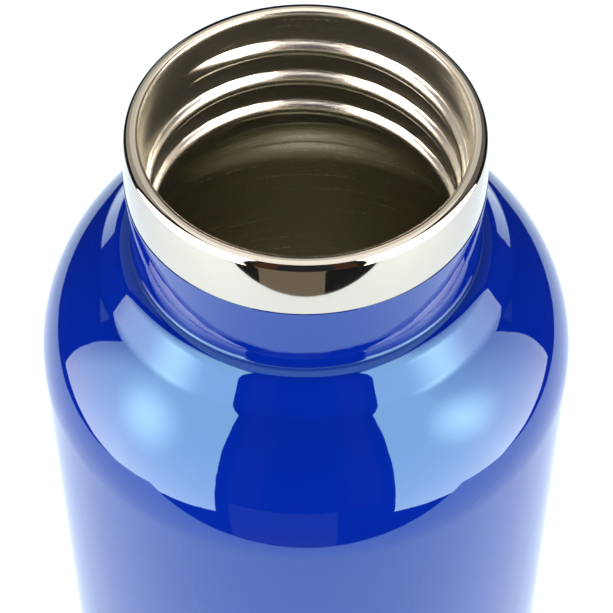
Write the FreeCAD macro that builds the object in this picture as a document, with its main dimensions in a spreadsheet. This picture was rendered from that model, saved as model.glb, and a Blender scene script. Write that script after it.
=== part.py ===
import FreeCAD, Part
import math
import os
import Sketcher

# Double-walled insulated bottle, open mouth.
# Frame: origin at the centre of the ring the bottle stands on, +Z up along
# the axis of the bottle, millimetres.

doc = FreeCAD.newDocument("InsulatedBottle")

# ---------------------------------------------------------------- dimensions
DIMENSIONS = [
    # overall
    ("height_all", 232.0),        # rim above the table
    ("body_radius", 36.5),        # outside of the coat, fits a 73 mm cage
    ("coat_skin", 0.12),          # enamel
    ("shell_wall", 0.45),         # outer steel
    ("flask_wall", 0.40),         # inner steel
    # outer profile, measured down from the rim, outside of the coat
    ("band_bulge_radius", 23.20),  # widest radius of the bare band (steel)
    ("band_bulge_drop", 6.90),
    ("coat_edge_drop", 8.51),     # where the coat starts
    ("neck_bow", 34.42),          # bow of the neck profile
    ("neck_turn", 3.1),           # degrees below level, normal where the bow ends
    ("neck_waist", 200.0),        # hollow of the neck below the bow
    ("neck_crease", 0.40),
    ("hump_radius", 3.0),         # low rounded hump round the foot of the neck
    ("hump_side", 33.0),          # degrees, normal of its straight outer side
    ("hump_side_length", 3.50),
    ("dip_radius", 4.0),          # hollow between hump and shoulder
    ("dip_end", 50.0),            # degrees, normal where the shoulder starts
    ("shoulder_radius", 23.9),
    ("shoulder_drop", 42.65),     # where the straight body starts
    # lip
    ("lip_round_out", 1.15),
    ("lip_top_radius", 21.75),
    ("lip_side_radius", 22.90),
    ("lip_inner_radius", 20.84),
    ("lip_weld_out", 21.50),
    ("lip_weld_in", 21.05),
    ("lip_bead", 0.16),
    # inner neck and thread
    ("mouth_band_drop", 4.00),
    ("thread_zone_drop", 20.30),
    ("thread_zone_radius", 20.15),
    ("thread_pitch", 5.41),
    ("thread_height", 0.90),
    ("thread_half_width", 1.20),
    ("thread_top_drop", 5.60),
    ("thread_turns", 2.45),
    ("thread_start_angle", 143.0),
    ("neck_step", 0.12),
    # inner flask
    ("flask_radius", 32.5),
    ("flask_fillet", 9.6),
    ("flask_slope", 60.0),
    ("inner_seam_level", 19.0),
    ("inner_floor_level", 12.0),
    ("inner_corner", 6.0),
    # bottom
    ("outer_seam_level", 12.0),
    ("seam_half", 0.30),
    ("outer_corner", 4.0),
    ("foot_inner", 29.6),
    ("recess_level", 2.6),
    ("recess_radius", 27.4),
    ("coat_end_angle", 50.0),
    ("cover_radius", 26.6),
    ("cover_skin", 0.5),
    ("glue_skin", 0.2),
    ("glue_inner", 20.0),
    ("hole_radius", 1.0),
    ("dimple_radius", 5.0),
    ("dimple_depth", 1.6),
    # vacuum-side parts
    ("foil_skin", 0.05),
    ("foil_low", 30.0),
    ("foil_high", 182.0),
    ("getter_radius", 5.0),
    ("getter_thick", 2.4),
    ("getter_offset", 17.0),
    ("clip_skin", 0.35),
    ("clip_width", 6.0),
]

sheet = doc.addObject("Spreadsheet::Sheet", "Dims")
for row, (name, value) in enumerate(DIMENSIONS, start=1):
    sheet.set("A%d" % row, name)
    sheet.set("B%d" % row, repr(float(value)))
    sheet.setAlias("B%d" % row, name)
doc.recompute()


class Q(object):
    """A number that also carries the expression it came from."""

    def __init__(self, value, text):
        self.value = float(value)
        self.text = text

    @staticmethod
    def of(other):
        if isinstance(other, Q):
            return other
        return Q(other, repr(float(other)))

    def __add__(self, other):
        other = Q.of(other)
        return Q(self.value + other.value, "(%s + %s)" % (self.text, other.text))

    def __radd__(self, other):
        return Q.of(other) + self

    def __sub__(self, other):
        other = Q.of(other)
        return Q(self.value - other.value, "(%s - %s)" % (self.text, other.text))

    def __rsub__(self, other):
        return Q.of(other) - self

    def __mul__(self, other):
        other = Q.of(other)
        return Q(self.value * other.value, "(%s * %s)" % (self.text, other.text))

    def __rmul__(self, other):
        return Q.of(other) * self

    def __truediv__(self, other):
        other = Q.of(other)
        return Q(self.value / other.value, "(%s / %s)" % (self.text, other.text))


def cosd(a):
    a = Q.of(a)
    return Q(math.cos(math.radians(a.value)), "cos(%s)" % a.text)


def sind(a):
    a = Q.of(a)
    return Q(math.sin(math.radians(a.value)), "sin(%s)" % a.text)


D = {name: Q(value, "Dims." + name) for name, value in DIMENSIONS}


def extra(name, value):
    """A solved value, kept in the sheet beside the driving ones."""
    row = len(DIMENSIONS) + len(EXTRAS) + 2
    EXTRAS.append(name)
    sheet.set("A%d" % row, name)
    sheet.set("B%d" % row, repr(round(float(value), 7)))
    sheet.setAlias("B%d" % row, name)
    D[name] = Q(round(float(value), 7), "Dims." + name)
    return D[name]


EXTRAS = []
H = D["height_all"]

# --------------------------------------------------- outer profile, solved
# Every arc is given by centre, radius and the elevation of the outward
# normal at its two ends, so that an offset of the surface keeps the centres
# and angles and changes only the radii.
neck_centre_r = D["band_bulge_radius"] + D["coat_skin"] - D["neck_bow"]
neck_centre_z = H - D["band_bulge_drop"]
low_centre_r = D["body_radius"] - D["shoulder_radius"]
low_centre_z = H - D["shoulder_drop"]
waist_centre_r = neck_centre_r + (D["neck_bow"] + D["neck_waist"]) * cosd(D["neck_turn"])
waist_centre_z = neck_centre_z - (D["neck_bow"] + D["neck_waist"]) * sind(D["neck_turn"])
dip_centre_r = low_centre_r + (D["shoulder_radius"] + D["dip_radius"]) * cosd(D["dip_end"])
dip_centre_z = low_centre_z + (D["shoulder_radius"] + D["dip_radius"]) * sind(D["dip_end"])
hump_centre_r = (dip_centre_r - (D["dip_radius"] + D["hump_radius"]) * cosd(D["hump_side"])
                 - D["hump_side_length"] * sind(D["hump_side"]))
hump_centre_z = (dip_centre_z - (D["dip_radius"] + D["hump_radius"]) * sind(D["hump_side"])
                 + D["hump_side_length"] * cosd(D["hump_side"]))

# The crease touches the waist from inside and the hump from outside.
near = D["neck_waist"].value - D["neck_crease"].value
far = D["hump_radius"].value + D["neck_crease"].value
run_r = hump_centre_r.value - waist_centre_r.value
run_z = hump_centre_z.value - waist_centre_z.value
span = math.hypot(run_r, run_z)
along = (near * near - far * far + span * span) / (2.0 * span)
across = math.sqrt(near * near - along * along)
crease_r = waist_centre_r.value + (along * run_r + across * run_z) / span
crease_z = waist_centre_z.value + (along * run_z - across * run_r) / span
waist_end = extra("waist_end_angle", math.degrees(math.atan2(waist_centre_z.value - crease_z,
                                                             waist_centre_r.value - crease_r)))
hump_top = extra("hump_top_angle", math.degrees(math.atan2(crease_z - hump_centre_z.value,
                                                           crease_r - hump_centre_r.value)))
crease_centre_r = hump_centre_r + (D["hump_radius"] + D["neck_crease"]) * cosd(hump_top)
crease_centre_z = hump_centre_z + (D["hump_radius"] + D["neck_crease"]) * sind(hump_top)
coat_edge = extra("coat_edge_angle", math.degrees(math.asin((D["coat_edge_drop"].value - D["band_bulge_drop"].value)
                                                            / (D["neck_bow"].value))))
# bare band: bow from the side of the lip down to the bulge
rise = D["band_bulge_drop"].value - D["lip_round_out"].value
step = D["band_bulge_radius"].value - D["lip_side_radius"].value
band_bow = extra("band_bow", (rise * rise + step * step) / (2.0 * step))


def outer_points(t):
    """Corners of the outer surface offset inwards by t, from the bulge of the band to the body."""
    turn, side, end = D["neck_turn"], D["hump_side"], D["dip_end"]
    return [
        (neck_centre_r + (D["neck_bow"] - t), neck_centre_z),
        (neck_centre_r + (D["neck_bow"] - t) * cosd(turn), neck_centre_z - (D["neck_bow"] - t) * sind(turn)),
        (waist_centre_r - (D["neck_waist"] + t) * cosd(waist_end), waist_centre_z - (D["neck_waist"] + t) * sind(waist_end)),
        (crease_centre_r - (D["neck_crease"] + t) * cosd(hump_top), crease_centre_z - (D["neck_crease"] + t) * sind(hump_top)),
        (hump_centre_r + (D["hump_radius"] - t) * cosd(side), hump_centre_z + (D["hump_radius"] - t) * sind(side)),
        (dip_centre_r - (D["dip_radius"] + t) * cosd(side), dip_centre_z - (D["dip_radius"] + t) * sind(side)),
        (dip_centre_r - (D["dip_radius"] + t) * cosd(end), dip_centre_z - (D["dip_radius"] + t) * sind(end)),
        (D["body_radius"] - t, low_centre_z),
    ]


def outer_joins(t, down):
    """What joins those corners, going down the outside or back up an inner face."""
    s = -1 if down else 1
    found = [
        (D["neck_bow"] - t, s),
        (D["neck_waist"] + t, -s),
        (D["neck_crease"] + t, -s),
        (D["hump_radius"] - t, s),
        None,
        (D["dip_radius"] + t, -s),
        (D["shoulder_radius"] - t, s),
    ]
    return found if down else found[::-1]


# ------------------------------------------------------------ sketch helper
def body_plane(body, role):
    for feature in body.Origin.OriginFeatures:
        if feature.Role == role:
            return feature
    raise RuntimeError("no plane " + role)


def arc_of(p, q, radius, side):
    """Arc from p to q, its centre on the left (+1) or right (-1) of p-q, the short way round."""
    dx, dy = q[0] - p[0], q[1] - p[1]
    chord = math.hypot(dx, dy)
    h = math.sqrt(max(radius * radius - chord * chord / 4.0, 0.0))
    cx = (p[0] + q[0]) / 2.0 - side * dy / chord * h
    cy = (p[1] + q[1]) / 2.0 + side * dx / chord * h
    a0 = math.atan2(p[1] - cy, p[0] - cx)
    a1 = math.atan2(q[1] - cy, q[0] - cx)
    circle = Part.Circle(FreeCAD.Vector(cx, cy, 0), FreeCAD.Vector(0, 0, 1), radius)
    if side > 0:                       # counter-clockwise from p to q
        if a1 < a0:
            a1 += 2 * math.pi
        return Part.ArcOfCircle(circle, a0, a1), 1, 2
    if a0 < a1:
        a0 += 2 * math.pi
    return Part.ArcOfCircle(circle, a1, a0), 2, 1


def draw(sketch, points, joins):
    """Closed outline. joins[i] is None for a line or (radius, side) for an arc from point i to i+1."""
    count = len(points)
    ends = []
    for i in range(count):
        p = (points[i][0].value, points[i][1].value)
        q = (points[(i + 1) % count][0].value, points[(i + 1) % count][1].value)
        if joins[i] is None:
            g = sketch.addGeometry(Part.LineSegment(FreeCAD.Vector(p[0], p[1], 0), FreeCAD.Vector(q[0], q[1], 0)), False)
            ends.append((g, 1, 2))
        else:
            curve, s, e = arc_of(p, q, joins[i][0].value, joins[i][1])
            g = sketch.addGeometry(curve, False)
            ends.append((g, s, e))
    for i in range(count):
        j = (i + 1) % count
        sketch.addConstraint(Sketcher.Constraint("Coincident", ends[i][0], ends[i][2], ends[j][0], ends[j][1]))
    for i in range(count):
        g, s, _ = ends[i]
        for axis, q, line in (("DistanceX", points[i][0], -2), ("DistanceY", points[i][1], -1)):
            if abs(q.value) < 1e-9:
                sketch.addConstraint(Sketcher.Constraint("PointOnObject", g, s, line))
            else:
                k = sketch.addConstraint(Sketcher.Constraint(axis, -1, 1, g, s, q.value))
                if "Dims." in q.text:
                    sketch.setExpression("Constraints[%d]" % k, q.text)
        if joins[i] is not None:
            k = sketch.addConstraint(Sketcher.Constraint("Radius", g, joins[i][0].value))
            if "Dims." in joins[i][0].text:
                sketch.setExpression("Constraints[%d]" % k, joins[i][0].text)


def turned(label, points, joins):
    """A body of revolution about the bottle's axis."""
    body = doc.addObject("PartDesign::Body", "Body_" + label)
    body.Label = label
    sketch = body.newObject("Sketcher::SketchObject", "Outline_" + label)
    sketch.AttachmentSupport = [(body_plane(body, "XZ_Plane"), "")]
    sketch.MapMode = "FlatFace"
    draw(sketch, points, joins)
    doc.recompute()
    rev = body.newObject("PartDesign::Revolution", "Turn_" + label)
    rev.Profile = sketch
    rev.ReferenceAxis = (sketch, ["V_Axis"])
    rev.Angle = 360.0
    body.Tip = rev
    body.Placement = FreeCAD.Placement()
    doc.recompute()
    return body


C, W, F = D["coat_skin"], D["shell_wall"], D["flask_wall"]
SH = D["seam_half"]
parts = {}

# ------------------------------------------------------------- outer shell
# Tube, shoulder, waisted neck and bare band in one drawn wall. The wall rolls
# over inwards at the lip and ends at the lip weld.
lip_z = H - D["lip_round_out"]
steel = outer_points(C)
inside = outer_points(C + W)
seam = D["outer_seam_level"]
lip_in_round = D["lip_round_out"] - W
points = [
    (D["lip_weld_out"], H),                               # edge at the weld, top
    (D["lip_top_radius"], H),
    (D["lip_side_radius"], lip_z),
    *steel,
    (D["body_radius"] - C, seam + SH),
    (D["body_radius"] - C - W, seam + SH),
    *inside[::-1],
    (D["lip_side_radius"] - W, lip_z),
    (D["lip_top_radius"], H - W),
    (D["lip_weld_out"], H - W),
]
joins = [
    None,
    (D["lip_round_out"], -1),
    (band_bow, -1),
    *outer_joins(C, True),
    None, None, None,
    *outer_joins(C + W, False),
    (band_bow - W, 1),
    (lip_in_round, 1),
    None, None,
]
parts["outer_shell"] = turned("outer_shell", points, joins)

# ------------------------------------------------------------- colour coat
# A skin on the steel, from the clean edge under the bare band down round the
# bottom corner. It never touches the table.
corner_r = D["body_radius"] - D["outer_corner"]
corner_z = D["outer_corner"] - C
end_a = D["coat_end_angle"]
skin = outer_points(Q.of(0.0))
edge_out = (neck_centre_r + D["neck_bow"] * cosd(coat_edge), neck_centre_z - D["neck_bow"] * sind(coat_edge))
edge_in = (neck_centre_r + (D["neck_bow"] - C) * cosd(coat_edge), neck_centre_z - (D["neck_bow"] - C) * sind(coat_edge))
points = [
    edge_in, edge_out, *skin[1:],
    (D["body_radius"], corner_z),
    (corner_r + D["outer_corner"] * cosd(end_a), corner_z - D["outer_corner"] * sind(end_a)),
    (corner_r + (D["outer_corner"] - C) * cosd(end_a), corner_z - (D["outer_corner"] - C) * sind(end_a)),
    (D["body_radius"] - C, corner_z),
    *steel[:0:-1],
]
joins = [
    None,
    *outer_joins(Q.of(0.0), True),
    None,
    (D["outer_corner"], -1),
    None,
    (D["outer_corner"] - C, 1),
    None,
    *outer_joins(C, False),
]
parts["colour_coat"] = turned("colour_coat", points, joins)

# ------------------------------------------------------------- outer base
# Pressed cup: skirt in line with the shell, rounded corner, flat ring to
# stand on, step up to the recess that takes the cover, dimple with the
# evacuation hole in the middle.
sr = D["body_radius"] - C
foot_z = Q.of(0.0)
oc = D["outer_corner"] - C
rec = D["recess_level"]
points = [
    (sr - W, seam - SH),
    (sr - W, corner_z),
    (corner_r, W),
    (D["foot_inner"] + W, W),
    (D["recess_radius"] + W, rec + W),
    (D["dimple_radius"] + D["dimple_depth"] * 0.5, rec + W),
    (D["dimple_radius"], rec + D["dimple_depth"] + W),
    (D["hole_radius"], rec + D["dimple_depth"] + W),
    (D["hole_radius"], rec + D["dimple_depth"]),
    (D["dimple_radius"] - W, rec + D["dimple_depth"]),
    (D["dimple_radius"] + D["dimple_depth"] * 0.5 - W, rec),
    (D["recess_radius"], rec),
    (D["foot_inner"], foot_z),
    (corner_r, foot_z),
    (sr, corner_z),
    (sr, seam - SH),
]
joins = [
    None, (oc - W, -1), None, None, None, None, None, None, None, None, None, None, None,
    (oc, 1), None, None,
]
parts["outer_base"] = turned("outer_base", points, joins)

points = [(sr - W, seam - SH), (sr, seam - SH), (sr, seam + SH), (sr - W, seam + SH), (sr - W - 0.12, seam)]
joins = [None, None, None, None, None]
parts["outer_base_weld"] = turned("outer_base_weld", points, joins)

# ------------------------------------------------------------- base cover
ct = rec - D["glue_skin"]
cb = ct - D["cover_skin"]
points = [
    (Q.of(0.0), cb), (D["cover_radius"] - 0.3, cb), (D["cover_radius"], cb + 0.2), (D["cover_radius"], ct),
    (Q.of(0.0), ct),
]
parts["base_cover"] = turned("base_cover", points, [None] * 5)

points = [(D["glue_inner"], ct), (D["cover_radius"] - 0.6, ct), (D["cover_radius"] - 0.6, rec), (D["glue_inner"], rec)]
parts["cover_glue"] = turned("cover_glue", points, [None] * 4)

# ------------------------------------------------------------- seal bead
# Glass plug: fills the hole and lies as a low dome in the dimple.
bz = rec + D["dimple_depth"]
points = [
    (Q.of(0.0), bz - 0.9), (D["dimple_radius"] - W - 1.4, bz), (D["hole_radius"], bz), (D["hole_radius"], bz + W),
    (Q.of(0.0), bz + W),
]
bead_r = ((D["dimple_radius"].value - W.value - 1.4) ** 2 + 0.81) / 1.8
parts["seal_bead"] = turned("seal_bead", points, [(Q.of(bead_r), 1), None, None, None, None])

# ------------------------------------------------------------- inner flask
# Plain band, slightly conical thread zone, flared shoulder, straight body.
lr, fr = D["lip_inner_radius"], D["flask_radius"]
tz, tr = H - D["thread_zone_drop"], D["thread_zone_radius"]
ff, fs = D["flask_fillet"], D["flask_slope"]
flare_r = tr + D["neck_step"] + ff * (1.0 - cosd(fs))
flare_z = tz - 0.25 - ff * sind(fs)
dome = extra("flask_dome", (fr.value - flare_r.value) / (1.0 - math.cos(math.radians(fs.value))))
dome_z = flare_z - dome * sind(fs)
lip_round_in = D["lip_weld_in"] - lr
weld_z = H - D["lip_bead"]
in_seam = D["inner_seam_level"]
top_in = weld_z
points = [
    (D["lip_weld_in"], weld_z),
    (lr, weld_z - 0.75),
    (lr, H - D["mouth_band_drop"]),
    (tr, tz),
    (tr + D["neck_step"], tz - 0.25),
    (flare_r, flare_z),
    (fr, dome_z),
    (fr, in_seam + SH),
    (fr + F, in_seam + SH),
    (fr + F, dome_z),
    (flare_r + F * cosd(fs), flare_z + F * sind(fs)),
    (tr + D["neck_step"] + F, tz - 0.25),
    (tr + F, tz),
    (lr + F, H - D["mouth_band_drop"]),
    (lr + F, H - W - 1.0),
    (D["lip_weld_out"], H - W),
    (D["lip_weld_out"], H - W + 0.1),
    (D["lip_weld_in"], weld_z - 0.2),
]
joins = [
    (Q.of(1.35), 1),
    None, None, None,
    (ff, 1),
    (dome, -1),
    None, None, None,
    (dome + F, 1),
    (ff - F, -1),
    None, None, None, None, None, None, None,
]
flask = turned("inner_flask", points, joins)

# the rolled thread: a rounded single-start right-hand ridge. Its path is a
# helix on the slight cone of the neck, from its low end up to its start at
# the back left; the flat back of the section lies inside the wall.
hw, th = D["thread_half_width"], D["thread_height"]
tan_cone = (lr.value - tr.value) / (D["thread_zone_drop"].value - D["mouth_band_drop"].value)
cone = extra("thread_cone", math.degrees(math.atan(tan_cone)))
rise_all = extra("thread_rise", D["thread_turns"].value * D["thread_pitch"].value)
low_drop = D["thread_top_drop"].value + rise_all.value
root = extra("thread_low_root", tr.value + tan_cone * (D["thread_zone_drop"].value - low_drop))
low_angle = D["thread_start_angle"].value - 360.0 * D["thread_turns"].value
sink = 0.20
ridge = extra("thread_round", ((hw.value + 0.1) ** 2 + (th.value + sink) ** 2) / (2.0 * (th.value + sink)))
turn = FreeCAD.Rotation(FreeCAD.Vector(0, 0, 1), low_angle)
base = FreeCAD.Placement(FreeCAD.Vector(0, 0, H.value - low_drop), turn)

spine = doc.addObject("Part::Helix", "ThreadPath")
spine.setExpression("Pitch", "Dims.thread_pitch")
spine.setExpression("Height", "Dims.thread_rise")
spine.setExpression("Radius", "Dims.thread_low_root")
spine.setExpression("Angle", "Dims.thread_cone")
spine.Placement = base

section = doc.addObject("Sketcher::SketchObject", "ThreadSection")
section.Placement = base.multiply(FreeCAD.Placement(FreeCAD.Vector(0, 0, 0), FreeCAD.Rotation(FreeCAD.Vector(1, 0, 0), 90)))
grip = (root + sink, hw + 0.1)
foot = (root + sink, Q.of(-(hw.value + 0.1)))
draw(section, [grip, foot], [(ridge, 1), None])
doc.recompute()

roll = doc.addObject("Part::Sweep", "ThreadRidge")
roll.Sections = [section]
roll.Spine = (spine, ["Edge1"])
roll.Solid = True
roll.Frenet = True
doc.recompute()

flask.Label = "flask_tube"
fuse = doc.addObject("Part::Fuse", "FlaskWithThread")
fuse.Label = "inner_flask"
fuse.Base = flask
fuse.Tool = roll
doc.recompute()
if fuse.Shape.Volume < flask.Shape.Volume + 0.5 * roll.Shape.Volume:
    raise RuntimeError("the thread is missing from the flask")
parts["inner_flask"] = fuse

# ------------------------------------------------------------- lip weld
# A low polished bead between the two walls on the inner side of the lip.
points = [
    (D["lip_weld_in"], weld_z), (D["lip_weld_in"], weld_z - 0.2), (D["lip_weld_out"], H - W + 0.1),
    (D["lip_weld_out"], H),
]
joins = [None, None, None, (Q.of(0.9), 1)]
parts["lip_weld"] = turned("lip_weld", points, joins)

# ------------------------------------------------------------- inner base
ic, iz = D["inner_corner"], D["inner_floor_level"]
points = [
    (fr + F, in_seam - SH), (fr, in_seam - SH), (fr, iz + ic), (fr - ic, iz), (Q.of(0.0), iz + 0.8),
    (Q.of(0.0), iz + 0.8 - F), (fr - ic, iz - F), (fr + F, iz + ic),
]
dish = ((fr.value - ic.value) ** 2 + 0.64) / 1.6
joins = [None, None, (ic, -1), (Q.of(dish), 1), None, (Q.of(dish), -1), (ic + F, 1), None]
parts["inner_base"] = turned("inner_base", points, joins)

points = [(fr, in_seam - SH), (fr + F, in_seam - SH), (fr + F + 0.1, in_seam), (fr + F, in_seam + SH), (fr, in_seam + SH),
          (fr - 0.08, in_seam)]
parts["inner_base_weld"] = turned("inner_base_weld", points, [None] * 6)

# ------------------------------------------------------------- copper foil
points = [(fr + F, D["foil_low"]), (fr + F + D["foil_skin"], D["foil_low"]), (fr + F + D["foil_skin"], D["foil_high"]),
          (fr + F, D["foil_high"])]
parts["copper_foil"] = turned("copper_foil", points, [None] * 4)

# ------------------------------------------------------------- getter
gz = rec + W
gap = D["clip_skin"]
pill = doc.addObject("Part::Cylinder", "Pill")
pill.Label = "getter_pill"
pill.setExpression("Radius", "Dims.getter_radius")
pill.setExpression("Height", "Dims.getter_thick")
pill.Placement = FreeCAD.Placement(FreeCAD.Vector(D["getter_offset"].value, 0, (gz + gap).value), FreeCAD.Rotation())
parts["getter_pill"] = pill

# spring clip: a strip bent under, beside and over the pill
clip = doc.addObject("PartDesign::Body", "Body_getter_clip")
clip.Label = "getter_clip"
sk = clip.newObject("Sketcher::SketchObject", "ClipOutline")
sk.AttachmentSupport = [(body_plane(clip, "XZ_Plane"), "")]
sk.MapMode = "FlatFace"
go, gr, gt, cs = D["getter_offset"], D["getter_radius"], D["getter_thick"], D["clip_skin"]
points = [
    (go - gr - cs - 2.0, gz), (go + gr + cs, gz), (go + gr + cs, gz + cs * 2 + gt), (go + gr - 3.0, gz + cs * 2 + gt),
    (go + gr - 3.0, gz + cs + gt), (go + gr, gz + cs + gt), (go + gr, gz + cs),
    (go - gr, gz + cs), (go - gr, gz + cs + gt), (go - gr + 2.0, gz + cs + gt), (go - gr + 2.0, gz + cs * 2 + gt),
    (go - gr - cs, gz + cs * 2 + gt), (go - gr - cs, gz + cs), (go - gr - cs - 2.0, gz + cs),
]
draw(sk, points, [None] * len(points))
doc.recompute()
pad = clip.newObject("PartDesign::Pad", "ClipStrip")
pad.Profile = sk
pad.Length = D["clip_width"].value
pad.setExpression("Length", "Dims.clip_width")
if hasattr(pad, "SideType"):
    pad.SideType = "Symmetric"
else:
    pad.Midplane = True
clip.Tip = pad
clip.Placement = FreeCAD.Placement()
doc.recompute()
parts["getter_clip"] = clip

# ------------------------------------------------------------------ checks
doc.recompute()
for obj in doc.Objects:
    if "Invalid" in obj.State or "Error" in obj.State:
        raise RuntimeError("%s (%s) failed: %s" % (obj.Name, obj.Label, obj.State))
for name, obj in parts.items():
    shape = obj.Shape
    if shape.isNull() or not shape.isValid() or not shape.Solids:
        raise RuntimeError("%s has no valid solid" % name)

os.makedirs("parts", exist_ok=True)
for name, obj in parts.items():
    obj.Shape.exportStep("parts/%s.step" % name)
    box = obj.Shape.BoundBox
    print("%-16s solids %d  volume %10.2f  r %.2f  z %.2f .. %.2f" % (
        name, len(obj.Shape.Solids), obj.Shape.Volume, box.XMax, box.ZMin, box.ZMax))
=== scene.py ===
import math

import bpy
import numpy as np
from mathutils import Matrix, Vector


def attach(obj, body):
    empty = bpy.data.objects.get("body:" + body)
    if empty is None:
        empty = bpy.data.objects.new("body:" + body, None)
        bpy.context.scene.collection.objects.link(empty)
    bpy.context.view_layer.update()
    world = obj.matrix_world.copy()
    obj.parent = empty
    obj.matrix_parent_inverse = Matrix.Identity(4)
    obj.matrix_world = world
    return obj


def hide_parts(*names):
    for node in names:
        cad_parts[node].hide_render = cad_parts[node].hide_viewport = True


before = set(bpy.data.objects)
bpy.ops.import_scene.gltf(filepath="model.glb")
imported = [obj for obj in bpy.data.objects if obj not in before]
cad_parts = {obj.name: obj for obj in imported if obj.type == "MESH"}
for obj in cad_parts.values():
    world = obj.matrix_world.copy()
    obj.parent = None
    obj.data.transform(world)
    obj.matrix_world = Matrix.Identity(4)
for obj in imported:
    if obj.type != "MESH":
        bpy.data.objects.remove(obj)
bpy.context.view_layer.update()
MM = 0.001
TAU = 2.0 * math.pi

# ------------------------------------------------------------------ sizes
# The bottle's driving sizes in millimetres, the same as in the design.
H = 232.0
BODY_R, COAT, SHELL, FLASK = 36.5, 0.12, 0.45, 0.40
BULGE_R, BULGE_DROP, EDGE_DROP = 23.20, 6.90, 8.51
NECK_BOW, NECK_A, WAIST_R, CREASE_R = 34.42, 3.1, 200.0, 0.40
HUMP_R, SIDE_A, SIDE_L = 3.00, 33.0, 3.50
DIP_R, DIP_A, SH_R, SH_DROP = 4.00, 50.0, 23.9, 42.65
LIP_RND, LIP_TOP, LIP_SIDE, LIP_IN = 1.15, 21.75, 22.90, 20.84
WELD_OUT, WELD_IN, BEAD = 21.50, 21.05, 0.16
BAND_DROP, ZONE_DROP, ZONE_R = 4.00, 20.30, 20.15
PITCH, T_H, T_HW, T_DROP, T_TURNS, T_START = 5.41, 0.90, 1.20, 5.60, 2.45, 143.0
STEP = 0.12
FL_R, FL_FIL, FL_SLOPE = 32.5, 9.6, 60.0
IN_SEAM, FLOOR_Z, IN_CORNER = 19.0, 12.0, 6.0
OUT_SEAM, SEAM_HALF, OUT_CORNER = 12.0, 0.30, 4.0
FOOT_IN, REC_Z, REC_R, COAT_END = 29.6, 2.6, 27.4, 50.0
COVER_R, COVER_T, GLUE_T = 26.6, 0.5, 0.2
HOLE_R, DIM_R, DIM_D = 1.0, 5.0, 1.6


# -------------------------------------------------------------- profiles
# A profile is a closed list of points (radius, height) in mm. Every stretch
# between two points carries the outward normal at both its ends, so a corner
# stays crisp and a smooth run stays smooth.
class Profile(object):
    def __init__(self):
        self.pts = []
        self.segs = []          # (kind, normal at start, normal at end)

    def start(self, r, z):
        self.pts.append((r, z))
        return self

    def line(self, r, z, n=1):
        r0, z0 = self.pts[-1]
        d = math.hypot(r - r0, z - z0)
        nn = ((z - z0) / d, -(r - r0) / d)
        for k in range(1, n + 1):
            f = k / n
            self.pts.append((r0 + (r - r0) * f, z0 + (z - z0) * f))
            self.segs.append(("line", nn, nn))
        return self

    def arc(self, cr, cz, rad, a0, a1, n, convex=True):
        """From elevation a0 to a1 (degrees) round (cr, cz). convex: the normal points away from the centre."""
        s = 1.0 if convex else -1.0
        for k in range(1, n + 1):
            b0 = math.radians(a0 + (a1 - a0) * (k - 1) / n)
            b1 = math.radians(a0 + (a1 - a0) * k / n)
            self.pts.append((cr + rad * math.cos(b1), cz + rad * math.sin(b1)))
            self.segs.append(("arc", (s * math.cos(b0), s * math.sin(b0)), (s * math.cos(b1), s * math.sin(b1))))
        return self

    def close(self):
        r0, z0 = self.pts[-1]
        r, z = self.pts[0]
        d = math.hypot(r - r0, z - z0)
        if d < 1e-6:
            self.pts.pop()
        else:
            nn = ((z - z0) / d, -(r - r0) / d)
            self.segs.append(("line", nn, nn))
        return self


def area_sign(pts):
    s = 0.0
    for i in range(len(pts)):
        r0, z0 = pts[i]
        r1, z1 = pts[(i + 1) % len(pts)]
        s += r0 * z1 - r1 * z0
    return 1.0 if s > 0 else -1.0


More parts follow.
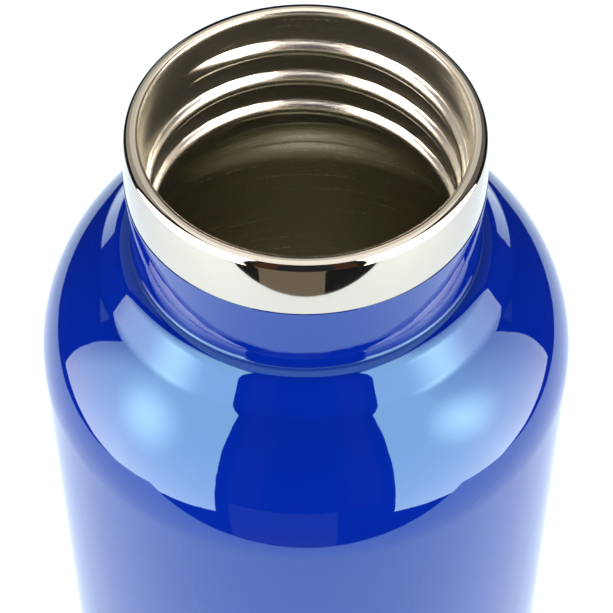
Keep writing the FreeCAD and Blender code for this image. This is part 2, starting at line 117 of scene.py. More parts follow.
def lathe(name, prof, count, warp=None, warped=None):
    """Turns a profile into one closed mesh with exact corner normals.
    warp(r, z, angles, i) may move the radius of profile point i; warped = (first, last) says which points it moves."""
    pts = np.array(prof.pts, float)
    n, nseg = len(pts), len(prof.segs)
    sgn = area_sign(prof.pts)
    ang = np.arange(count) * TAU / count
    ca, sa = np.cos(ang), np.sin(ang)
    on_axis = pts[:, 0] < 1e-7
    rad = np.repeat(pts[:, :1], count, 1)
    if warp is not None:
        for i in range(warped[0], warped[1] + 1):
            rad[i] = warp(pts[i, 0], pts[i, 1], ang, i)
    verts, index, at = [], np.zeros((n, count), np.int64), 0
    for i in range(n):
        if on_axis[i]:
            verts.append(np.array([[0.0, 0.0, pts[i, 1]]]))
            index[i, :] = at
            at += 1
        else:
            verts.append(np.stack([rad[i] * ca, rad[i] * sa, np.full(count, pts[i, 1])], 1))
            index[i, :] = at + np.arange(count)
            at += count
    co = np.concatenate(verts) * MM
    grid_n = None
    if warp is not None:
        grid = np.stack([rad * ca, rad * sa, np.repeat(pts[:, 1:], count, 1)], 2)
        d_ang = np.roll(grid, -1, 1) - np.roll(grid, 1, 1)
        d_pro = np.zeros_like(grid)
        d_pro[1:-1] = grid[2:] - grid[:-2]
        grid_n = np.cross(d_ang, d_pro) * sgn
        grid_n /= np.maximum(np.linalg.norm(grid_n, axis=2, keepdims=True), 1e-12)
    length = np.concatenate([[0.0], np.cumsum([math.hypot(*(pts[(i + 1) % n] - pts[i])) for i in range(nseg)])])
    total = max(length[-1], 1e-9)
    ids, nor, uvs, sizes = [], [], [], []
    jj = np.arange(count)
    kk = (jj + 1) % count
    for i in range(nseg):
        a, b = i, (i + 1) % n
        if on_axis[a] and on_axis[b]:
            continue
        kind, n0, n1 = prof.segs[i]
        s = sgn if kind == "line" else 1.0
        va, vb = length[i] / total, length[i + 1] / total

        def corner(row, col, nn, u, v):
            if warp is not None and warped[0] < row < warped[1]:
                no = grid_n[row][col]
            else:
                no = np.stack([s * nn[0] * ca[col], s * nn[0] * sa[col], np.full(count, s * nn[1])], 1)
            return index[row][col], no, np.stack([u, np.full(count, v)], 1)

        u0, u1 = jj / count, (jj + 1) / count
        if on_axis[a]:
            cs = [corner(a, jj, n0, u0, va), corner(b, kk, n1, u1, vb), corner(b, jj, n1, u0, vb)]
        elif on_axis[b]:
            cs = [corner(a, jj, n0, u0, va), corner(a, kk, n0, u1, va), corner(b, jj, n1, u0, vb)]
        else:
            cs = [corner(a, jj, n0, u0, va), corner(a, kk, n0, u1, va), corner(b, kk, n1, u1, vb),
                  corner(b, jj, n1, u0, vb)]
        if sgn < 0:
            cs = cs[::-1]
        ids.append(np.stack([c[0] for c in cs], 1).ravel())
        nor.append(np.stack([c[1] for c in cs], 1).reshape(-1, 3))
        uvs.append(np.stack([c[2] for c in cs], 1).reshape(-1, 2))
        sizes.append(np.full(count, len(cs), np.int32))
    ids, nor, uvs, sizes = (np.concatenate(x) for x in (ids, nor, uvs, sizes))
    me = bpy.data.meshes.new(name)
    me.vertices.add(len(co))
    me.vertices.foreach_set("co", co.astype(np.float32).ravel())
    me.loops.add(len(ids))
    me.loops.foreach_set("vertex_index", ids.astype(np.int32))
    me.polygons.add(len(sizes))
    me.polygons.foreach_set("loop_start", np.concatenate([[0], np.cumsum(sizes)[:-1]]).astype(np.int32))
    me.polygons.foreach_set("loop_total", sizes)
    me.update(calc_edges=True)
    uv = me.uv_layers.new(name="UVMap")
    uv.data.foreach_set("uv", uvs.astype(np.float32).ravel())
    me.polygons.foreach_set("use_smooth", np.ones(len(sizes), bool))
    me.normals_split_custom_set(nor.astype(np.float32))
    ob = bpy.data.objects.new(name, me)
    bpy.context.scene.collection.objects.link(ob)
    return ob


# ----------------------------------------------------- outer profile, solved
def on_arc(c, rad, a):
    return c[0] + rad * math.cos(math.radians(a)), c[1] + rad * math.sin(math.radians(a))


neck_c = (BULGE_R + COAT - NECK_BOW, H - BULGE_DROP)
_p = on_arc(neck_c, NECK_BOW, -NECK_A)
waist_c = on_arc(_p, WAIST_R, -NECK_A)             # shallow waist of the neck
low_c = (BODY_R - SH_R, H - SH_DROP)
dip_c = on_arc(low_c, SH_R + DIP_R, DIP_A)         # hollow ring between the hump and the shoulder
_p = on_arc(dip_c, -DIP_R, SIDE_A)
_t = math.radians(SIDE_A)
_p = (_p[0] - SIDE_L * math.sin(_t), _p[1] + SIDE_L * math.cos(_t))
hump_c = on_arc(_p, -HUMP_R, SIDE_A)               # rounded hump at the foot of the neck
# the crease touches the waist and the hump
_r0, _r1 = WAIST_R - CREASE_R, HUMP_R + CREASE_R
_dx, _dz = hump_c[0] - waist_c[0], hump_c[1] - waist_c[1]
_d = math.hypot(_dx, _dz)
_a = (_r0 * _r0 - _r1 * _r1 + _d * _d) / (2.0 * _d)
_h = math.sqrt(_r0 * _r0 - _a * _a)
crease_c = (waist_c[0] + (_a * _dx + _h * _dz) / _d, waist_c[1] + (_a * _dz - _h * _dx) / _d)
WAIST_END = math.degrees(math.atan2(waist_c[1] - crease_c[1], waist_c[0] - crease_c[0]))
HUMP_A = math.degrees(math.atan2(crease_c[1] - hump_c[1], crease_c[0] - hump_c[0]))
EDGE_A = math.degrees(math.asin((EDGE_DROP - BULGE_DROP) / NECK_BOW))
_rise, _step = BULGE_DROP - LIP_RND, BULGE_R - LIP_SIDE
BAND_BOW = (_rise * _rise + _step * _step) / (2.0 * _step)
BAND_A = math.degrees(math.asin(_rise / BAND_BOW))


def outer_down(p, t, fine=1.0):
    """From the waist of the neck over crease, hump, hollow and shoulder down to the body, offset inwards by t."""
    p.arc(waist_c[0], waist_c[1], WAIST_R + t, 180 - NECK_A, 180 + WAIST_END, int(40 * fine), convex=False)
    p.arc(crease_c[0], crease_c[1], CREASE_R + t, 180 + WAIST_END, 180 + HUMP_A, int(20 * fine), convex=False)
    p.arc(hump_c[0], hump_c[1], HUMP_R - t, HUMP_A, SIDE_A, int(26 * fine))
    p.line(*on_arc(dip_c, -(DIP_R + t), SIDE_A), int(8 * fine))
    p.arc(dip_c[0], dip_c[1], DIP_R + t, 180 + SIDE_A, 180 + DIP_A, int(22 * fine), convex=False)
    p.arc(low_c[0], low_c[1], SH_R - t, DIP_A, 0.0, int(80 * fine))
    return p


def outer_up(p, t, fine=0.5):
    p.arc(low_c[0], low_c[1], SH_R - t, 0.0, DIP_A, int(80 * fine), convex=False)
    p.arc(dip_c[0], dip_c[1], DIP_R + t, 180 + DIP_A, 180 + SIDE_A, int(22 * fine))
    p.line(*on_arc(hump_c, HUMP_R - t, SIDE_A), int(8 * fine))
    p.arc(hump_c[0], hump_c[1], HUMP_R - t, SIDE_A, HUMP_A, int(26 * fine), convex=False)
    p.arc(crease_c[0], crease_c[1], CREASE_R + t, 180 + HUMP_A, 180 + WAIST_END, int(20 * fine))
    p.arc(waist_c[0], waist_c[1], WAIST_R + t, 180 + WAIST_END, 180 - NECK_A, int(40 * fine))
    return p


CORNER_R, CORNER_Z = BODY_R - OUT_CORNER, OUT_CORNER - COAT

# Clockwise loops (down the outside, up the inside) give outward normals.
# ------------------------------------------------------------ colour coat
p = Profile().start(*on_arc(neck_c, NECK_BOW - 0.04, -EDGE_A))
p.arc(neck_c[0], neck_c[1], NECK_BOW, -EDGE_A - 0.12, -NECK_A, 4)
p.pts[1] = on_arc(neck_c, NECK_BOW, -EDGE_A - 0.16)
outer_down(p, 0.0)
p.line(BODY_R, CORNER_Z, 30)
p.arc(CORNER_R, CORNER_Z, OUT_CORNER, 0.0, -COAT_END, 14)
x, y = on_arc((CORNER_R, CORNER_Z), OUT_CORNER - COAT, -COAT_END)
p.line(x, y)
p.arc(CORNER_R, CORNER_Z, OUT_CORNER - COAT, -COAT_END, 0.0, 8, convex=False)
p.line(BODY_R - COAT, low_c[1], 20)
outer_up(p, COAT)
p.arc(neck_c[0], neck_c[1], NECK_BOW - COAT, -NECK_A, -EDGE_A, 2, convex=False)
p.close()
coat = lathe("coat_skin", p, 320)

# ------------------------------------------------------------ outer shell
p = Profile().start(WELD_OUT, H - 0.02)
p.line(LIP_TOP, H, 2)
p.arc(LIP_TOP, H - LIP_RND, LIP_RND, 90.0, BAND_A, 26)
p.arc(BULGE_R - BAND_BOW, H - BULGE_DROP, BAND_BOW, BAND_A, 0.0, 26)
p.arc(neck_c[0], neck_c[1], NECK_BOW - COAT, 0.0, -NECK_A, 10)
outer_down(p, COAT, 0.5)
p.line(BODY_R - COAT, OUT_SEAM + SEAM_HALF, 16)
p.line(BODY_R - COAT - SHELL, OUT_SEAM + SEAM_HALF)
p.line(BODY_R - COAT - SHELL, low_c[1], 16)
outer_up(p, COAT + SHELL)
p.arc(neck_c[0], neck_c[1], NECK_BOW - COAT - SHELL, -NECK_A, 0.0, 6, convex=False)
p.arc(BULGE_R - BAND_BOW, H - BULGE_DROP, BAND_BOW - SHELL, 0.0, BAND_A, 10, convex=False)
p.arc(LIP_TOP, H - LIP_RND, LIP_RND - SHELL, BAND_A, 90.0, 10, convex=False)
p.line(WELD_OUT, H - SHELL)
p.close()
shell = lathe("shell_and_lip", p, 320)

# ------------------------------------------------------------ inner flask
# Closed wall: inside face from the lip down to the seam, outside face back up.
flare = (ZONE_R + STEP + FL_FIL * (1 - math.cos(math.radians(FL_SLOPE))),
         H - ZONE_DROP - 0.25 - FL_FIL * math.sin(math.radians(FL_SLOPE)))
DOME = (FL_R - flare[0]) / (1 - math.cos(math.radians(FL_SLOPE)))
dome_c = (FL_R - DOME, flare[1] - DOME * math.sin(math.radians(FL_SLOPE)))
fil2_c = (ZONE_R + STEP + FL_FIL, H - ZONE_DROP - 0.25)
WELD_Z = H - BEAD
p = Profile().start(FL_R, IN_SEAM + SEAM_HALF)
p.line(FL_R, dome_c[1], 20)
p.arc(dome_c[0], dome_c[1], DOME, 0.0, FL_SLOPE, 26, convex=False)
p.arc(fil2_c[0], fil2_c[1], FL_FIL, 180 + FL_SLOPE, 180.0, 26)
p.line(ZONE_R, H - ZONE_DROP, 3)
i_low = len(p.pts) - 1
p.line(LIP_IN, H - BAND_DROP, 96)
i_high = len(p.pts) - 1
p.line(LIP_IN, WELD_Z - 0.75, 8)
# rounded inner lip up to the weld
_cx, _cz, _R = LIP_IN + 1.35, WELD_Z - 0.75, 1.35
_a1 = math.degrees(math.acos((_cx - WELD_IN) / _R))
p.arc(_cx, _cz, _R, 180.0, 180.0 - _a1, 6)
p.line(WELD_IN, WELD_Z)
p.line(WELD_IN, WELD_Z - 0.2)
p.line(WELD_OUT, H - SHELL + 0.1)
p.line(WELD_OUT, H - SHELL)
p.line(LIP_IN + FLASK, H - SHELL - 1.0)
p.line(LIP_IN + FLASK, H - BAND_DROP, 3)
p.line(ZONE_R + FLASK, H - ZONE_DROP, 8)
p.line(ZONE_R + STEP + FLASK, H - ZONE_DROP - 0.25)
p.arc(fil2_c[0], fil2_c[1], FL_FIL - FLASK, 180.0, 180 + FL_SLOPE, 8, convex=False)
p.arc(dome_c[0], dome_c[1], DOME + FLASK, FL_SLOPE, 0.0, 10)
p.line(FL_R + FLASK, IN_SEAM + SEAM_HALF, 8)
p.close()
thread_top_z = H - T_DROP


def ridge_at(z, ang):
    """How far the rolled thread stands out of the wall at height z and each angle, in mm."""
    out = np.zeros_like(ang)
    deg = np.degrees(ang)
    for k in range(-1, 4):
        turns = (T_START - deg) / 360.0 + k
        zc = thread_top_z - PITCH * turns
        fade = np.clip(turns / 0.080, 0, 1) * np.clip((T_TURNS - turns) / 0.080, 0, 1)
        fade = fade * fade * (3 - 2 * fade)
        u = np.clip(np.abs(z - zc) / T_HW, 0, 1.25)
        bump = np.where(u < 1.0, np.sqrt(np.clip(1 - u * u * 0.86, 0, 1)) - math.sqrt(0.14), 0.0) / (1 - math.sqrt(0.14))
        tail = np.where(u < 1.25, 0.5 * (1 + np.cos(np.pi * np.clip((u - 0.75) / 0.5, 0, 1))), 0.0)
        shape = np.where(u < 0.75, bump, bump * 0.7 + 0.3 * tail * bump.clip(0.0, 1.0))
        out = np.maximum(out, T_H * fade * shape)
    return out


def flask_warp(r, z, ang, i):
    return r - ridge_at(z, ang)


flask = lathe("flask_with_thread", p, 384, warp=flask_warp, warped=(i_low, i_high))

# --------------------------------------------------------------- lip weld
p = Profile().start(WELD_IN, WELD_Z - 0.2)
p.line(WELD_IN, WELD_Z)
_d = math.hypot(WELD_OUT - WELD_IN, BEAD)
_h = math.sqrt(0.9 ** 2 - _d * _d / 4)
_mx, _mz = (WELD_IN + WELD_OUT) / 2, WELD_Z + BEAD / 2
_cx, _cz = _mx + BEAD / _d * _h, _mz - (WELD_OUT - WELD_IN) / _d * _h
_b0 = math.degrees(math.atan2(WELD_Z - _cz, WELD_IN - _cx))
_b1 = math.degrees(math.atan2(H - _cz, WELD_OUT - _cx))
p.arc(_cx, _cz, 0.9, _b0, _b1, 8)
p.line(WELD_OUT, H - SHELL + 0.1)
p.close()
weld = lathe("lip_weld_bead", p, 320)

# -------------------------------------------------------------- flask base
p = Profile().start(0.0, FLOOR_Z + 0.8)
_R = ((FL_R - IN_CORNER) ** 2 + 0.64) / 1.6
_t = math.degrees(math.asin((FL_R - IN_CORNER) / _R))
p.arc(0.0, FLOOR_Z + 0.8 - _R, _R, 90.0, 90.0 - _t, 24)
p.arc(FL_R - IN_CORNER, FLOOR_Z + IN_CORNER, IN_CORNER, -90.0, 0.0, 14, convex=False)
p.line(FL_R, IN_SEAM - SEAM_HALF)
p.line(FL_R + FLASK, IN_SEAM - SEAM_HALF)
p.line(FL_R + FLASK, FLOOR_Z + IN_CORNER)
p.arc(FL_R - IN_CORNER, FLOOR_Z + IN_CORNER, IN_CORNER + FLASK, 0.0, -90.0, 10)
p.arc(0.0, FLOOR_Z + 0.8 - _R, _R - FLASK, 90.0 - _t, 90.0, 16, convex=False)
p.segs = p.segs[:len(p.pts) - 1]
flask_base = lathe("flask_base_cup", p, 256)

# --------------------------------------------------------------- outer base
sr, oc = BODY_R - COAT, OUT_CORNER - COAT
p = Profile().start(HOLE_R, REC_Z + DIM_D + SHELL)
p.line(DIM_R, REC_Z + DIM_D + SHELL)
p.line(DIM_R + DIM_D * 0.5, REC_Z + SHELL)
p.line(REC_R + SHELL, REC_Z + SHELL, 4)
p.line(FOOT_IN + SHELL, SHELL)
p.line(CORNER_R, SHELL)
p.arc(CORNER_R, CORNER_Z, oc - SHELL, -90.0, 0.0, 10, convex=False)
p.line(sr - SHELL, OUT_SEAM - SEAM_HALF, 2)
p.line(sr, OUT_SEAM - SEAM_HALF)
p.line(sr, CORNER_Z, 3)
p.arc(CORNER_R, CORNER_Z, oc, 0.0, -90.0, 22)
p.line(FOOT_IN + 0.55, 0.0, 2)
# eased step from the standing ring up to the recess
_s = math.degrees(math.atan2(REC_Z, FOOT_IN - REC_R))
p.line(FOOT_IN - 0.35, 0.42 * 0.9)
p.line(REC_R + 0.25, REC_Z - 0.30, 3)
p.line(REC_R - 0.35, REC_Z)
p.line(DIM_R + DIM_D * 0.5 - SHELL, REC_Z, 4)
p.line(DIM_R - SHELL, REC_Z + DIM_D)
p.line(HOLE_R, REC_Z + DIM_D)
p.close()
outer_base = lathe("base_cup", p, 256)

# --------------------------------------------------------------- base cover
# A pressed disc: flat middle, a shallow stepped ring and a turned-in rim.
ct = REC_Z - GLUE_T
cb = ct - COVER_T
p = Profile().start(0.0, cb + 0.10)
p.line(17.0, cb + 0.10, 10)
p.line(17.5, cb + 0.02, 3)
p.line(18.6, cb, 3)
p.line(19.7, cb + 0.02, 3)
p.line(20.2, cb + 0.10, 3)
p.line(COVER_R - 1.0, cb + 0.10, 4)
p.line(COVER_R - 0.7, cb)
p.line(COVER_R - 0.3, cb)
p.line(COVER_R, cb + 0.2, 2)
p.line(COVER_R, ct)
p.line(0.0, ct, 6)
p.segs = p.segs[:len(p.pts) - 1]
cover = lathe("cover_disc", p, 256)


# --------------------------------------------------------------- materials
def new_material(name):
    m = bpy.data.materials.new(name)
    m.use_nodes = True
    nt = m.node_tree
    nt.nodes.clear()
    out = nt.nodes.new("ShaderNodeOutputMaterial")
    b = nt.nodes.new("ShaderNodeBsdfPrincipled")
    nt.links.new(b.outputs["BSDF"], out.inputs["Surface"])
    return m, nt, b


def node(nt, kind, **kw):
    n = nt.nodes.new(kind)
    for k, v in kw.items():
        if k.startswith("in_"):
            n.inputs[k[3:].replace("_", " ")].default_value = v
        else:
            setattr(n, k, v)
    return n


def coords(nt, scale=(1, 1, 1)):
    tc = nt.nodes.new("ShaderNodeTexCoord")
    mp = nt.nodes.new("ShaderNodeMapping")
    mp.inputs["Scale"].default_value = scale
    nt.links.new(tc.outputs["Object"], mp.inputs["Vector"])
    return mp.outputs["Vector"]


def around(nt, turns, per_metre, drift=0.0):
    """Coordinates that follow the surface round the axis: (turns * angle, radius, per_metre * height) stretched for lathe marks."""
    tc = nt.nodes.new("ShaderNodeTexCoord")
    sep = nt.nodes.new("ShaderNodeSeparateXYZ")
    nt.links.new(tc.outputs["Object"], sep.inputs[0])
    ang = node(nt, "ShaderNodeMath", operation="ARCTAN2")
    nt.links.new(sep.outputs["Y"], ang.inputs[0])
    nt.links.new(sep.outputs["X"], ang.inputs[1])
    cosn = node(nt, "ShaderNodeMath", operation="COSINE")
    sinn = node(nt, "ShaderNodeMath", operation="SINE")
    nt.links.new(ang.outputs[0], cosn.inputs[0])
    nt.links.new(ang.outputs[0], sinn.inputs[0])
    len2 = node(nt, "ShaderNodeVectorMath", operation="LENGTH")
    comb0 = nt.nodes.new("ShaderNodeCombineXYZ")
    nt.links.new(sep.outputs["X"], comb0.inputs["X"])
    nt.links.new(sep.outputs["Y"], comb0.inputs["Y"])
    nt.links.new(comb0.outputs[0], len2.inputs[0])
    mc = node(nt, "ShaderNodeMath", operation="MULTIPLY")
    ms = node(nt, "ShaderNodeMath", operation="MULTIPLY")
    nt.links.new(cosn.outputs[0], mc.inputs[0])
    nt.links.new(sinn.outputs[0], ms.inputs[0])
    mc.inputs[1].default_value = turns
    ms.inputs[1].default_value = turns
    hz = node(nt, "ShaderNodeMath", operation="ADD")
    nt.links.new(sep.outputs["Z"], hz.inputs[0])
    nt.links.new(len2.outputs["Value"], hz.inputs[1])
    mz = node(nt, "ShaderNodeMath", operation="MULTIPLY")
    nt.links.new(hz.outputs[0], mz.inputs[0])
    mz.inputs[1].default_value = per_metre
    comb = nt.nodes.new("ShaderNodeCombineXYZ")
    nt.links.new(mc.outputs[0], comb.inputs["X"])
    nt.links.new(ms.outputs[0], comb.inputs["Y"])
    nt.links.new(mz.outputs[0], comb.inputs["Z"])
    return comb.outputs[0]


def noise(nt, vec, scale, detail=3.0, rough=0.55):
    n = nt.nodes.new("ShaderNodeTexNoise")
    n.inputs["Scale"].default_value = scale
    n.inputs["Detail"].default_value = detail
    n.inputs["Roughness"].default_value = rough
    nt.links.new(vec, n.inputs["Vector"])
    return n.outputs["Fac"]


def span(nt, fac, a, b, lo=0.3, hi=0.7):
    r = nt.nodes.new("ShaderNodeMapRange")
    r.inputs["From Min"].default_value = lo
    r.inputs["From Max"].default_value = hi
    r.inputs["To Min"].default_value = a
    r.inputs["To Max"].default_value = b
    r.clamp = True
    nt.links.new(fac, r.inputs["Value"])
    return r.outputs["Result"]


def blend_colour(nt, fac, a, b):
    m = nt.nodes.new("ShaderNodeMix")
    m.data_type = "RGBA"
    m.inputs["A"].default_value = (*a, 1) if len(a) == 3 else a
    if hasattr(b, "default_value"):
        nt.links.new(b, m.inputs["B"])
    else:
        m.inputs["B"].default_value = (*b, 1) if len(b) == 3 else b
    nt.links.new(fac, m.inputs["Factor"])
    return m.outputs["Result"]


def bump(nt, height, b, distance, strength=1.0, chain=None):
    n = nt.nodes.new("ShaderNodeBump")
    n.inputs["Distance"].default_value = distance
    n.inputs["Strength"].default_value = strength
    nt.links.new(height, n.inputs["Height"])
    if chain is not None:
        nt.links.new(chain, n.inputs["Normal"])
    if b is not None:
        nt.links.new(n.outputs["Normal"], b.inputs["Normal"])
    return n.outputs["Normal"]


def enamel():
    m, nt, b = new_material("blue_enamel")
    obj = coords(nt)
    b.inputs["Metallic"].default_value = 0.0
    b.inputs["IOR"].default_value = 1.58
    b.inputs["Specular IOR Level"].default_value = 0.5
    b.inputs["Specular Tint"].default_value = (0.44, 0.95, 1.0, 1.0)
    cloud = noise(nt, obj, 34.0, 2.0, 0.5)
    col = blend_colour(nt, span(nt, cloud, 0.0, 1.0), (0.0002, 0.0058, 0.110), (0.0003, 0.0068, 0.121))
    nt.links.new(col, b.inputs["Base Color"])
    nt.links.new(span(nt, noise(nt, obj, 420.0, 2.0), 0.020, 0.032), b.inputs["Roughness"])
    peel = noise(nt, obj, 260.0, 2.0, 0.5)
    n1 = bump(nt, peel, None, 0.000012, 1.0)
    slow = noise(nt, obj, 46.0, 1.0, 0.4)
    n2 = bump(nt, slow, None, 0.00006, 1.0, n1)
    nt.links.new(n2, b.inputs["Normal"])
    return m


def steel(name, colour, tint, rough, marks, bump_mm, grain=900.0, grain_mm=0.0, aniso=0.0):
    """Stainless steel: fine marks running round the axis, a fine grain, slow colour drift."""
    m, nt, b = new_material(name)
    b.inputs["Metallic"].default_value = 1.0
    obj = coords(nt)
    ring = around(nt, 1.4, marks)
    lines = noise(nt, ring, 1.0, 3.0, 0.6)
    slow = noise(nt, obj, 60.0, 3.0, 0.6)
    fine = noise(nt, obj, grain, 2.0, 0.6)
    nt.links.new(blend_colour(nt, span(nt, slow, 0.0, 1.0), colour, tint), b.inputs["Base Color"])
    mixr = node(nt, "ShaderNodeMath", operation="ADD")
    nt.links.new(span(nt, lines, rough[0], rough[1]), mixr.inputs[0])
    nt.links.new(span(nt, fine, 0.0, rough[1] * 0.15), mixr.inputs[1])
    nt.links.new(mixr.outputs[0], b.inputs["Roughness"])
    if aniso:
        b.inputs["Anisotropic"].default_value = aniso
        tg = nt.nodes.new("ShaderNodeTangent")
        tg.direction_type = "RADIAL"
        tg.axis = "Z"
        nt.links.new(tg.outputs[0], b.inputs["Tangent"])
    n1 = bump(nt, lines, None, bump_mm * MM, 1.0)
    if grain_mm:
        n1 = bump(nt, fine, None, grain_mm * MM, 1.0, n1)
    nt.links.new(n1, b.inputs["Normal"])
    return m


M_ENAMEL = enamel()
M_POLISH = steel("polished_steel", (0.50, 0.46, 0.39), (0.53, 0.49, 0.42), (0.030, 0.050), 6000.0, 0.00005)
M_INNER = steel("inner_steel", (0.64, 0.63, 0.54), (0.69, 0.68, 0.59), (0.20, 0.25), 6000.0, 0.00005, grain=5200.0, grain_mm=0.0045)
M_WELD = steel("weld_steel", (0.62, 0.55, 0.44), (0.70, 0.64, 0.54), (0.10, 0.22), 900.0, 0.004, grain=1500.0, grain_mm=0.004)
M_BASE = steel("base_steel", (0.58, 0.57, 0.54), (0.64, 0.63, 0.60), (0.22, 0.34), 1400.0, 0.003)
M_COVER = steel("cover_steel", (0.60, 0.59, 0.56), (0.66, 0.65, 0.62), (0.24, 0.36), 2200.0, 0.003)


def plain(name, colour, other, rough, metallic=0.0, scale=500.0, depth=0.02):
    m, nt, b = new_material(name)
    obj = coords(nt)
    f = noise(nt, obj, scale, 3.0, 0.6)
    b.inputs["Metallic"].default_value = metallic
    nt.links.new(blend_colour(nt, span(nt, f, 0.0, 1.0), colour, other), b.inputs["Base Color"])
    nt.links.new(span(nt, noise(nt, obj, scale * 0.4, 2.0), rough[0], rough[1]), b.inputs["Roughness"])
    nt.links.new(bump(nt, f, None, depth * MM, 1.0), b.inputs["Normal"])
    return m


M_GLUE = plain("adhesive", (0.62, 0.60, 0.52), (0.70, 0.68, 0.60), (0.45, 0.6))
M_GLASS = plain("solder_glass", (0.10, 0.12, 0.11), (0.16, 0.18, 0.17), (0.10, 0.25), scale=900.0, depth=0.01)
M_PILL = plain("getter_alloy", (0.20, 0.19, 0.19), (0.32, 0.31, 0.30), (0.55, 0.8), 0.6, 1400.0, 0.05)
M_CLIP = plain("clip_steel", (0.55, 0.54, 0.52), (0.62, 0.61, 0.59), (0.25, 0.4), 1.0, 1200.0, 0.01)
M_FOIL = plain("copper_foil", (0.72, 0.36, 0.22), (0.80, 0.44, 0.28), (0.14, 0.34), 1.0, 220.0, 0.06)


def dress(obj, mat, slot_name, *nodes):
    obj.data.materials.clear()
    obj.data.materials.append(mat)
    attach(obj, "root")
    if nodes:
        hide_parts(*nodes)


dress(coat, M_ENAMEL, "blue_enamel", "colour_coat")
dress(shell, M_POLISH, "polished_steel", "outer_shell")
dress(flask, M_INNER, "inner_steel", "inner_flask")
dress(weld, M_WELD, "weld_steel", "lip_weld")
dress(flask_base, M_INNER, "inner_steel", "inner_base")
dress(outer_base, M_BASE, "base_steel", "outer_base")
dress(cover, M_COVER, "cover_steel", "base_cover")

kept = {
    "outer_base_weld": (M_WELD, "weld_steel"),
    "inner_base_weld": (M_WELD, "weld_steel"),
    "cover_glue": (M_GLUE, "adhesive"),
    "seal_bead": (M_GLASS, "solder_glass"),
    "getter_pill": (M_PILL, "getter_alloy"),
    "getter_clip": (M_CLIP, "clip_steel"),
    "copper_foil": (M_FOIL, "copper"),
}
for name, (mat, slot_name) in kept.items():
    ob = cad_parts[name]
    ob.data.materials.clear()
    ob.data.materials.append(mat)


# ------------------------------------------------------------------- stage
def stage_mesh(name, corners, mat, camera=True, glossy=True, diffuse=True, shadow=True):
    me = bpy.data.meshes.new(name)
    me.from_pydata([tuple(c) for c in corners], [], [tuple(range(len(corners)))])
    me.update()
    uv = me.uv_layers.new(name="UVMap")
    flat = [(0, 0), (1, 0), (1, 1), (0, 1)]
    for i in range(min(4, len(corners))):
        uv.data[i].uv = flat[i]
    ob = bpy.data.objects.new(name, me)
    bpy.context.scene.collection.objects.link(ob)
    me.materials.append(mat)
    ob.visible_camera = camera
    ob.visible_glossy = glossy
    ob.visible_diffuse = diffuse
    ob.visible_shadow = shadow
    ob.visible_transmission = camera
    return ob


def emitter(name, colour, strength, hot=0.0, centre=(0.5, 0.5), size=0.5, dim=None):
    """dim = (u, v, level): the face fades to that share of its strength from u = v down to u."""
    m = bpy.data.materials.new(name)
    m.use_nodes = True
    nt = m.node_tree
    nt.nodes.clear()
    out = nt.nodes.new("ShaderNodeOutputMaterial")
    e = nt.nodes.new("ShaderNodeEmission")
    e.inputs["Color"].default_value = (*colour, 1)
    e.inputs["Strength"].default_value = strength
    nt.links.new(e.outputs[0], out.inputs["Surface"])
    if hot:
        tc = nt.nodes.new("ShaderNodeTexCoord")
        sub = node(nt, "ShaderNodeVectorMath", operation="SUBTRACT")
        sub.inputs[1].default_value = (centre[0], centre[1], 0)
        nt.links.new(tc.outputs["UV"], sub.inputs[0])
        ln = node(nt, "ShaderNodeVectorMath", operation="LENGTH")
        nt.links.new(sub.outputs[0], ln.inputs[0])
        mr = nt.nodes.new("ShaderNodeMapRange")
        mr.interpolation_type = "SMOOTHSTEP"
        mr.inputs["From Min"].default_value = 0.0
        mr.inputs["From Max"].default_value = size
        mr.inputs["To Min"].default_value = strength + hot
        mr.inputs["To Max"].default_value = strength
        nt.links.new(ln.outputs["Value"], mr.inputs["Value"])
        if dim is None:
            nt.links.new(mr.outputs["Result"], e.inputs["Strength"])
        else:
            sx = nt.nodes.new("ShaderNodeSeparateXYZ")
            nt.links.new(tc.outputs["UV"], sx.inputs[0])
            fr = nt.nodes.new("ShaderNodeMapRange")
            fr.inputs["From Min"].default_value = dim[0]
            fr.inputs["From Max"].default_value = dim[1]
            fr.inputs["To Min"].default_value = dim[2]
            fr.inputs["To Max"].default_value = 1.0
            fr.clamp = True
            nt.links.new(sx.outputs["X"], fr.inputs["Value"])
            mu = node(nt, "ShaderNodeMath", operation="MULTIPLY")
            nt.links.new(mr.outputs["Result"], mu.inputs[0])
            nt.links.new(fr.outputs["Result"], mu.inputs[1])
            nt.links.new(mu.outputs[0], e.inputs["Strength"])
    return m


def floor_material(name, glow):
    m, nt, b = new_material(name)
    obj = coords(nt)
    b.inputs["Base Color"].default_value = (0.26, 0.28, 0.29, 1)
    b.inputs["Emission Color"].default_value = (*glow, 1)
    b.inputs["Emission Strength"].default_value = 1.0
    b.inputs["Specular IOR Level"].default_value = 0.0
    b.inputs["Roughness"].default_value = 0.9
    return m


M_FLOOR = floor_material("stage_floor", (0.72, 0.90, 1.04))
M_FAR = floor_material("stage_floor_far", (0.80, 0.80, 0.80))
FX, FY0, FY1, FAR = 0.37, -0.235, 0.60, 6.0
stage_mesh("floor_near", [(-FX, FY0, 0), (FX, FY0, 0), (FX, FY1, 0), (-FX, FY1, 0)], M_FLOOR)
rest = [
    ("floor_front", (-FAR, -FAR), (FAR, FY0)),
    ("floor_back", (-FAR, FY1), (FAR, FAR)),
    ("floor_left", (-FAR, FY0), (-FX, FY1)),
    ("floor_right", (FX, FY0), (FAR, FY1)),
]
for name, (x0, y0), (x1, y1) in rest:
    stage_mesh(name, [(x0, y0, 0), (x1, y0, 0), (x1, y1, 0), (x0, y1, 0)], M_FAR, glossy=False)


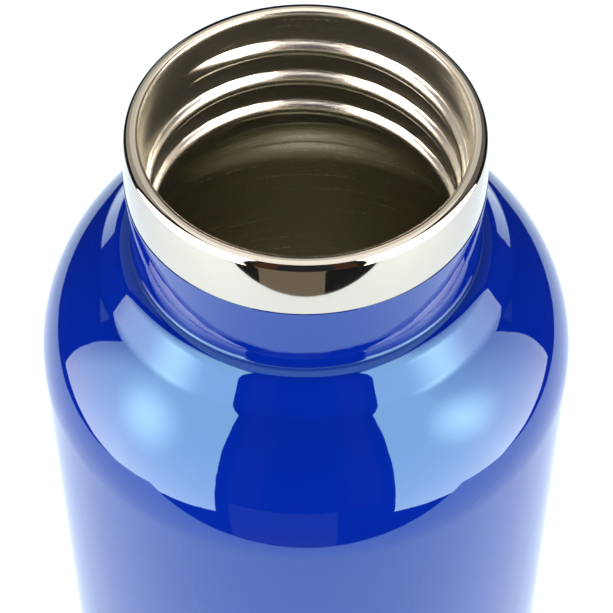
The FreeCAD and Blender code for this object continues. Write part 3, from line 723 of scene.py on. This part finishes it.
def from_shoulder(az, el, az0, dist, ref=(0.0, 0.0, 0.195)):
    """Point seen from the shoulder in that direction, on the upright plane at right angles to az0 at that distance.
    Azimuth 0 looks to -Y, and +90 to +X."""
    a, e = math.radians(az), math.radians(el)
    d = Vector((math.sin(a) * math.cos(e), -math.cos(a) * math.cos(e), math.sin(e)))
    f = Vector((math.sin(math.radians(az0)), -math.cos(math.radians(az0)), 0))
    return Vector(ref) + d * (dist / d.dot(f))


SOFT_L = emitter("softbox_left_face", (1.17, 1.0, 1.0), 7.7, 6.0, (0.585, 0.330), 0.20, (0.05, 0.50, 0.42))
SOFT_R = emitter("softbox_right_face", (1.17, 1.0, 1.0), 7.7, 6.0, (0.560, 0.370), 0.20, (0.95, 0.55, 0.42))
left = [from_shoulder(*c, -68, 0.44) for c in ((-108, -22), (-32, -22), (-34, 55), (-76, 55))]
right = [from_shoulder(*c, 68, 0.44) for c in ((31, -22), (110, -22), (82, 55), (34, 55))]
stage_mesh("softbox_left", left, SOFT_L, camera=False)
stage_mesh("softbox_right", right, SOFT_R, camera=False)
TOP = emitter("overhead_face", (1.0, 0.99, 0.97), 1.7)
stage_mesh("overhead", [(-0.40, -0.34, 0.92), (0.40, -0.34, 0.92), (0.40, 0.42, 0.92), (-0.40, 0.42, 0.92)], TOP,
           camera=False)
BACKTOP = emitter("overhead_back_face", (1.0, 0.97, 0.92), 1.0)
stage_mesh("overhead_back", [(-0.40, 0.42, 0.92), (0.40, 0.42, 0.92), (0.40, 0.84, 0.92), (-0.40, 0.84, 0.92)], BACKTOP,
           camera=False)

# wide fill in front: it lightens the body without showing as a reflection
FILL = emitter("front_fill_face", (0.35, 0.95, 1.0), 8.0)
fill = stage_mesh("front_fill", [(-0.8, -0.9, 0.02), (0.8, -0.9, 0.02), (0.8, -0.9, 0.50), (-0.8, -0.9, 0.50)], FILL,
                  camera=False, glossy=False)
# dim walls behind, seen in the rounding of the lip
for name, az0, az1, level in (("wall_back_left", -165, -105, 0.55), ("wall_back_right", 105, 165, 0.22)):
    m = emitter(name + "_face", (1.0, 0.96, 0.88), level)
    c = [from_shoulder(a, e, (az0 + az1) / 2, 0.9) for a, e in ((az0, 12), (az1, 12), (az1, 52), (az0, 52))]
    stage_mesh(name, c, m, camera=False, diffuse=False)

# dim things that a studio has in front of the table: they show only as small
# reflections in the polished steel
BEIGE = emitter("front_beige", (0.28, 0.24, 0.18), 1.0)
BROWN = emitter("front_brown", (0.10, 0.045, 0.03), 1.0)
DARK = emitter("front_dark", (0.030, 0.035, 0.050), 1.0)


def card(name, az0, az1, el0, el1, dist, mat):
    mid = 0.0
    c = [from_shoulder(az0, el0, mid, dist, (0, 0, 0.225)), from_shoulder(az1, el0, mid, dist, (0, 0, 0.225)),
         from_shoulder(az1, el1, mid, dist, (0, 0, 0.225)), from_shoulder(az0, el1, mid, dist, (0, 0, 0.225))]
    stage_mesh(name, c, mat, camera=False, diffuse=False)


card("card_beige", -27, 11, -48, -16, 0.50, BEIGE)
card("card_brown_left", -27, -15, -15, 58, 0.50, BROWN)
card("card_brown_right", 15, 27, -15, 58, 0.50, BROWN)
card("card_dark", -15, 15, -15, 60, 0.52, DARK)

world = bpy.data.worlds.new("studio")
bpy.context.scene.world = world
world.use_nodes = True
bg = world.node_tree.nodes.get("Background")
if bg is None:
    bg = world.node_tree.nodes.new("ShaderNodeBackground")
    wo = world.node_tree.nodes.new("ShaderNodeOutputWorld")
    world.node_tree.links.new(bg.outputs[0], wo.inputs["Surface"])
bg.inputs["Color"].default_value = (0.020, 0.021, 0.024, 1)
bg.inputs["Strength"].default_value = 1.0

# pale backdrop, seen only directly
BACK = emitter("backdrop_face", (1.0, 1.0, 1.0), 1.02)
ring = []
for k in range(48):
    a0, a1 = TAU * k / 48, TAU * (k + 1) / 48
    ring.append([(5.5 * math.cos(a0), 5.5 * math.sin(a0), -0.5), (5.5 * math.cos(a1), 5.5 * math.sin(a1), -0.5),
                 (5.5 * math.cos(a1), 5.5 * math.sin(a1), 6.0), (5.5 * math.cos(a0), 5.5 * math.sin(a0), 6.0)])
me = bpy.data.meshes.new("backdrop")
me.from_pydata([c for q in ring for c in q], [], [tuple(range(4 * i, 4 * i + 4)) for i in range(len(ring))])
me.materials.append(BACK)
back = bpy.data.objects.new("backdrop", me)
bpy.context.scene.collection.objects.link(back)
back.visible_glossy = False
back.visible_diffuse = False
back.visible_shadow = False
back.visible_transmission = False

# ------------------------------------------------------------------ camera
cam_data = bpy.data.cameras.new("camera")
cam = bpy.data.objects.new("camera", cam_data)
bpy.context.scene.collection.objects.link(cam)
cam_data.sensor_width = 36.0
cam_data.lens = 134.27
cam_data.clip_start, cam_data.clip_end = 0.01, 50.0
pitch, roll = 0.889743, -0.00204384
fw = Vector((0, math.cos(pitch), -math.sin(pitch)))
up0 = Vector((0, math.sin(pitch), math.cos(pitch)))
rt0 = Vector((1, 0, 0))
rt = math.cos(roll) * rt0 + math.sin(roll) * up0
up = -math.sin(roll) * rt0 + math.cos(roll) * up0
loc = Vector((0.0000685, -0.19716, 0.43975))
cam.matrix_world = Matrix((
    (rt.x, up.x, -fw.x, loc.x),
    (rt.y, up.y, -fw.y, loc.y),
    (rt.z, up.z, -fw.z, loc.z),
    (0, 0, 0, 1),
))
bpy.context.scene.camera = cam
bpy.context.scene.view_settings.view_transform = "Standard"
bpy.context.scene.view_settings.look = "None"
bpy.context.scene.view_settings.exposure = 0.0
bpy.context.scene.view_settings.gamma = 1.0
bpy.context.scene.cycles.max_bounces = 14
bpy.context.scene.cycles.glossy_bounces = 10
bpy.context.scene.cycles.diffuse_bounces = 5

bpy.context.view_layer.update()
